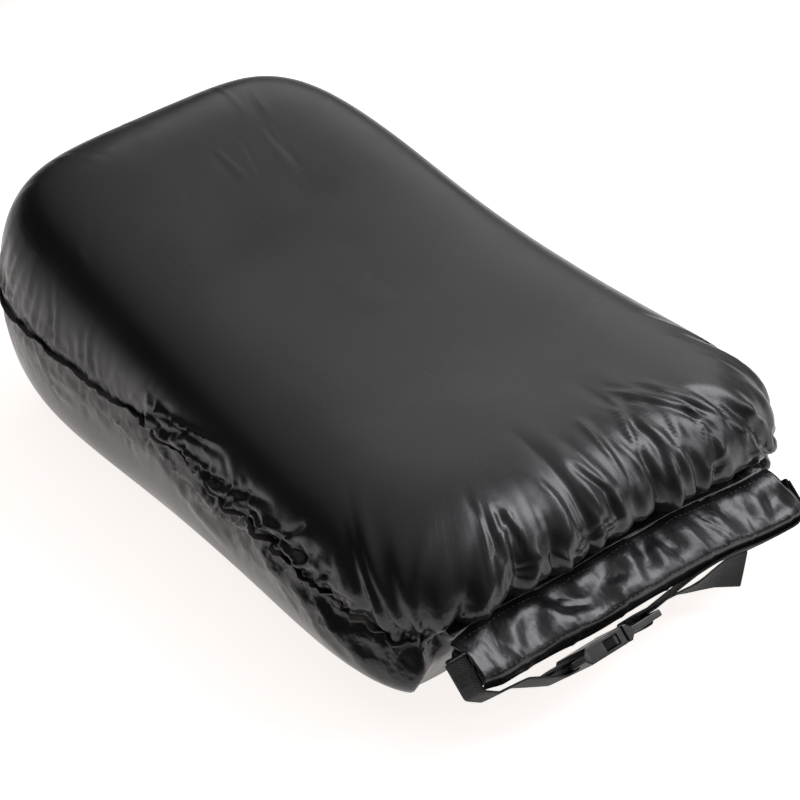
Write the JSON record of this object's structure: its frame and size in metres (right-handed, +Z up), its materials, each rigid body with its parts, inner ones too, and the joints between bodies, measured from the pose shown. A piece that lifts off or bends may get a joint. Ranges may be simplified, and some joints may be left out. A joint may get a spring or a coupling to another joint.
{
  "type": "roll-top packing sack",
  "caption": "Stuffed lightweight roll-top sack lying flat, its mouth rolled down and held by a webbing strap with a side-release buckle.",
  "frame": {"origin": "on the flat underside, in the middle of the body, on the floor that the sack lies on", "axes": "+X from the base end towards the rolled mouth, +Y across the sack, +Z up"},
  "size_m": [0.5267, 0.3352, 0.171],
  "materials": {
    "body_cloth": "satin coated ripstop nylon, crinkled",
    "binding_tape": "matte woven tape",
    "webbing": "ribbed nylon webbing",
    "thread": "dense stitching",
    "moulded_plastic": "satin moulded acetal",
    "stiffener_plastic": "smooth sheet",
    "packed_clothing": "soft folded cloth"
  },
  "bodies": {
    "sack": {"top_panel": "body_cloth", "bottom_panel": "body_cloth", "seam_binding_left": "binding_tape", "seam_binding_base": "binding_tape", "seam_binding_right": "binding_tape", "packed_load": "packed_clothing"},
    "closure": {"collar_roll": "body_cloth", "collar_hem": "body_cloth", "mouth_stiffener_front": "stiffener_plastic", "mouth_stiffener_back": "stiffener_plastic"},
    "strap": {"anchor_tab_left": "body_cloth", "anchor_tab_right": "body_cloth", "bartack_left": "thread", "bartack_right": "thread", "webbing_left": "webbing", "webbing_right": "webbing", "buckle_socket": "moulded_plastic"},
    "plug": {"buckle_plug": "moulded_plastic", "webbing_tail": "webbing"},
    "prong_upper": {"buckle_prong_upper": "moulded_plastic"},
    "prong_lower": {"buckle_prong_lower": "moulded_plastic"}
  },
  "joints": [
    {"name": "closure_fold", "type": "hinge", "parent": "sack", "child": "closure", "pos_m": [0.2105, 0, 0.062], "axis": [0, -1, 0], "range_deg": [-10, 12]},
    {"name": "strap_swing", "type": "hinge", "parent": "closure", "child": "strap", "pos_m": [0.2325, 0, 0.0508], "axis": [0, -1, 0], "range_deg": [-45, 60]},
    {"name": "buckle_release", "type": "slide", "parent": "strap", "child": "plug", "axis": [0, 1, 0], "range_m": [0, 0.028], "deforming": ["webbing_right", "buckle_prong_upper", "buckle_prong_lower"]},
    {"name": "prong_upper_pinch", "type": "hinge", "parent": "plug", "child": "prong_upper", "pos_m": [0.26198, -0.038, 0.04013], "axis": [0.7431, 0, -0.6691], "range_deg": [0, 7], "stiffness_Nm_per_rad": 0.05},
    {"name": "prong_lower_pinch", "type": "hinge", "parent": "plug", "child": "prong_lower", "pos_m": [0.24619, -0.038, 0.0226], "axis": [-0.7431, 0, 0.6691], "range_deg": [0, 7], "stiffness_Nm_per_rad": 0.05}
  ],
  "couplings": [
    {"joint": "prong_lower_pinch", "follows": "prong_upper_pinch", "ratio": 1}
  ]
}
